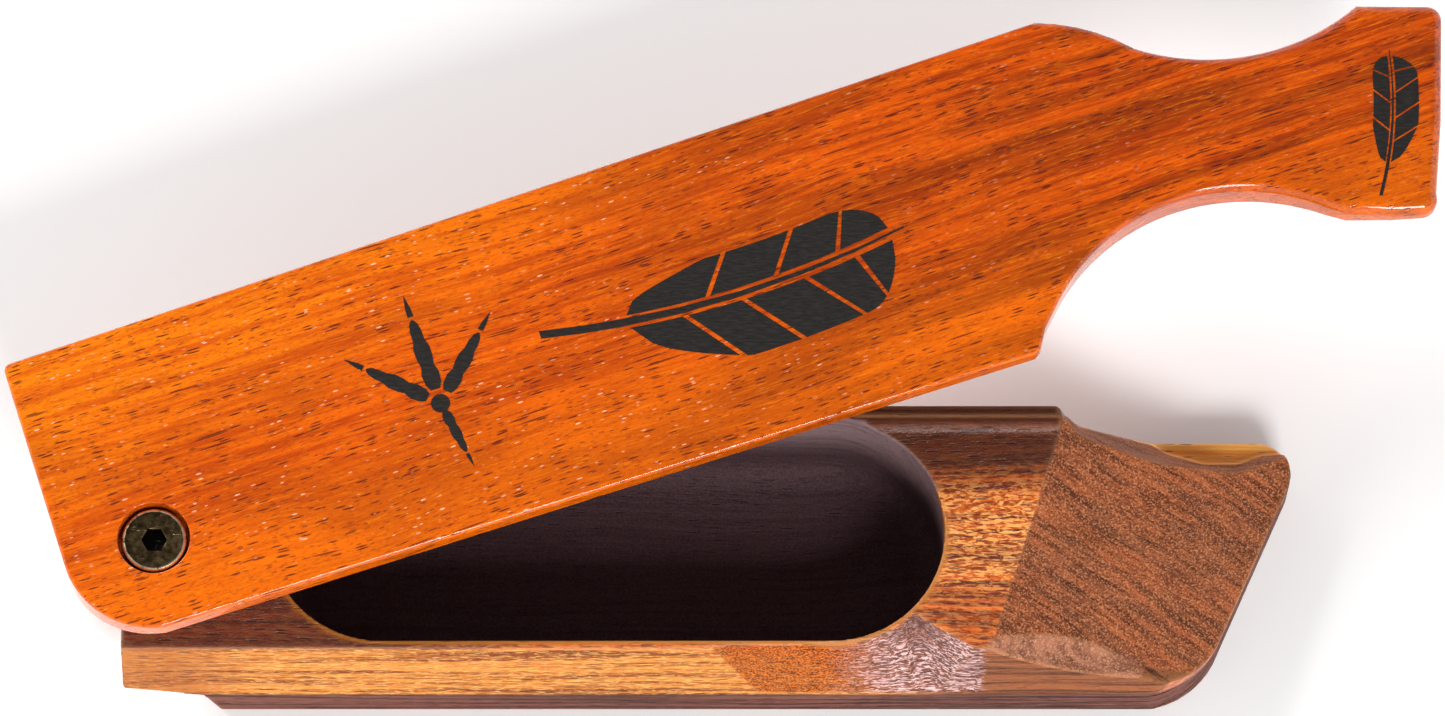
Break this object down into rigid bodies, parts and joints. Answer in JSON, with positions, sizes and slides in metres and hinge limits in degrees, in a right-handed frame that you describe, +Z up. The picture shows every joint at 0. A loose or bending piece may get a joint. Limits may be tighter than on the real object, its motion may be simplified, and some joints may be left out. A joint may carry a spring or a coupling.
{
  "type": "box turkey call",
  "caption": "One-piece milled hardwood sound box with a crowned paddle lid that swings and tilts on a sprung socket-head pivot screw",
  "frame": {"origin": "middle of the flat face that the box stands on", "axes": "+X along the box towards the paddle's handle, +Y to the side with the raised lip, +Z up out of the sound chamber"},
  "size_m": [0.252, 0.117, 0.046],
  "materials": {
    "box_wood": "dark red-brown hardwood, satin lacquer on the deck and sides, bare end grain on the carved cuts",
    "paddle_wood": "orange-red hardwood with dark pores and gloss varnish",
    "dark_bronze_steel": "dark bronze-black steel with a worn bright rim",
    "spring_steel": "bright zinc-plated steel",
    "insert_brass": "plain machined brass"
  },
  "bodies": {
    "box": {"box_body": "box_wood", "threaded_insert": "insert_brass"},
    "screw": {"pivot_screw": "dark_bronze_steel"},
    "spring": {"tension_spring": "spring_steel"},
    "paddle": {"paddle_lid": "paddle_wood", "spring_washer": "spring_steel"}
  },
  "joints": [
    {"name": "screw_turn", "type": "hinge", "parent": "box", "child": "screw", "pos_m": [-0.0959, -0.005, 0.0424], "axis": [0, 0, 1], "range_deg": [-180, 180]},
    {"name": "paddle_swing", "type": "hinge", "parent": "box", "child": "spring", "pos_m": [-0.0959, -0.005, 0.0424], "axis": [0, 0, 1], "range_deg": [-70, 41]},
    {"name": "paddle_tilt", "type": "hinge", "parent": "spring", "child": "paddle", "pos_m": [-0.09056, -0.00316, 0.0423], "axis": [0.3256, -0.9455, 0], "range_deg": [0, 3], "stiffness_Nm_per_rad": 0.1, "springref_deg": -9.74, "deforming": ["tension_spring"]}
  ]
}
